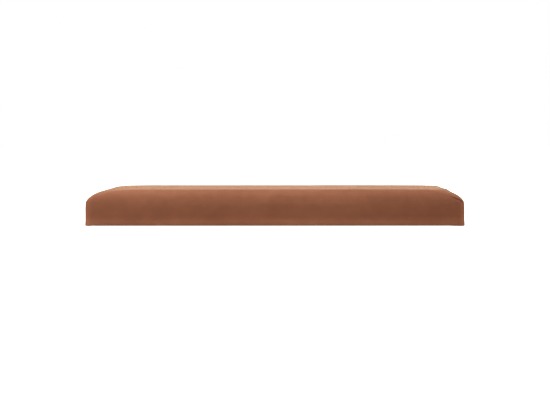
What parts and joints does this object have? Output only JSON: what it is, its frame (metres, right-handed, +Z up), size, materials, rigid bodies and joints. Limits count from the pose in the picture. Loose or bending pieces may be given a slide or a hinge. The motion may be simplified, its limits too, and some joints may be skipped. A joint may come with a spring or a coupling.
{
  "type": "folding storage ottoman",
  "caption": "Velvet storage ottoman folded flat: a padded lift-off lid over hinged box walls and a loose base board.",
  "frame": {"origin": "on the floor under the middle of the folded ottoman", "axes": "+X along the length, -Y towards the front, +Z up"},
  "size_m": [0.76, 0.38, 0.0719],
  "materials": {
    "velvet": "short brown pile",
    "lining": "bonded non-woven cloth",
    "fibreboard": "raw fibreboard",
    "rail_wood": "sawn softwood",
    "foam": "open-cell foam",
    "wadding": "bonded polyester wadding",
    "ribbon": "woven ribbon",
    "staple_steel": "bright wire"
  },
  "bodies": {
    "back_panel": {"back_panel_board": "fibreboard", "back_panel_cover": "velvet", "back_panel_lining": "lining", "left_rear_welt": "velvet", "right_rear_welt": "velvet"},
    "front_panel": {"front_panel_board": "fibreboard", "front_panel_cover": "velvet", "front_panel_lining": "lining", "left_front_welt": "velvet", "right_front_welt": "velvet"},
    "left_rear_half": {"left_rear_half_board": "fibreboard", "left_rear_half_cover": "velvet", "left_rear_half_lining": "lining", "left_crease_welt": "velvet"},
    "left_front_half": {"left_front_half_board": "fibreboard", "left_front_half_cover": "velvet", "left_front_half_lining": "lining"},
    "right_rear_half": {"right_rear_half_board": "fibreboard", "right_rear_half_cover": "velvet", "right_rear_half_lining": "lining", "right_crease_welt": "velvet"},
    "right_front_half": {"right_front_half_board": "fibreboard", "right_front_half_cover": "velvet", "right_front_half_lining": "lining"},
    "base": {"base_board": "fibreboard", "base_lining": "lining", "base_pull_tab": "ribbon"},
    "lid": {"lid_top_board": "fibreboard", "lid_front_rail": "rail_wood", "lid_back_rail": "rail_wood", "lid_left_rail": "rail_wood", "lid_right_rail": "rail_wood", "lid_wadding": "wadding", "lid_foam_pad": "foam", "lid_cover": "velvet", "lid_lining": "lining", "lid_hem_staples": "staple_steel"}
  },
  "joints": [
    {"name": "left_rear_hinge", "type": "hinge", "parent": "back_panel", "child": "left_rear_half", "pos_m": [-0.3581, 0, 0.0113], "axis": [0, -1, 0], "range_deg": [0, 90]},
    {"name": "left_crease_hinge", "type": "hinge", "parent": "left_rear_half", "child": "left_front_half", "pos_m": [-0.1946, 0, 0.0183], "axis": [0, 1, 0], "range_deg": [0, 180]},
    {"name": "left_front_hinge", "type": "hinge", "parent": "left_front_half", "child": "front_panel", "pos_m": [-0.3581, 0, 0.0253], "axis": [0, -1, 0], "range_deg": [0, 90]},
    {"name": "right_rear_hinge", "type": "hinge", "parent": "back_panel", "child": "right_rear_half", "pos_m": [0.3581, 0, 0.0113], "axis": [0, 1, 0], "range_deg": [0, 90]},
    {"name": "right_crease_hinge", "type": "hinge", "parent": "right_rear_half", "child": "right_front_half", "pos_m": [0.1946, 0, 0.0183], "axis": [0, -1, 0], "range_deg": [0, 180]},
    {"name": "base_lift", "type": "slide", "parent": "front_panel", "child": "base", "axis": [0, 0, 1], "range_m": [0, 0.12]},
    {"name": "lid_lift", "type": "slide", "parent": "base", "child": "lid", "axis": [0, 0, 1], "range_m": [0, 0.16]}
  ],
  "couplings": [
    {"joint": "left_crease_hinge", "follows": "left_rear_hinge", "ratio": 2},
    {"joint": "left_front_hinge", "follows": "left_rear_hinge", "ratio": 1},
    {"joint": "right_rear_hinge", "follows": "left_rear_hinge", "ratio": 1},
    {"joint": "right_crease_hinge", "follows": "left_rear_hinge", "ratio": 2}
  ]
}
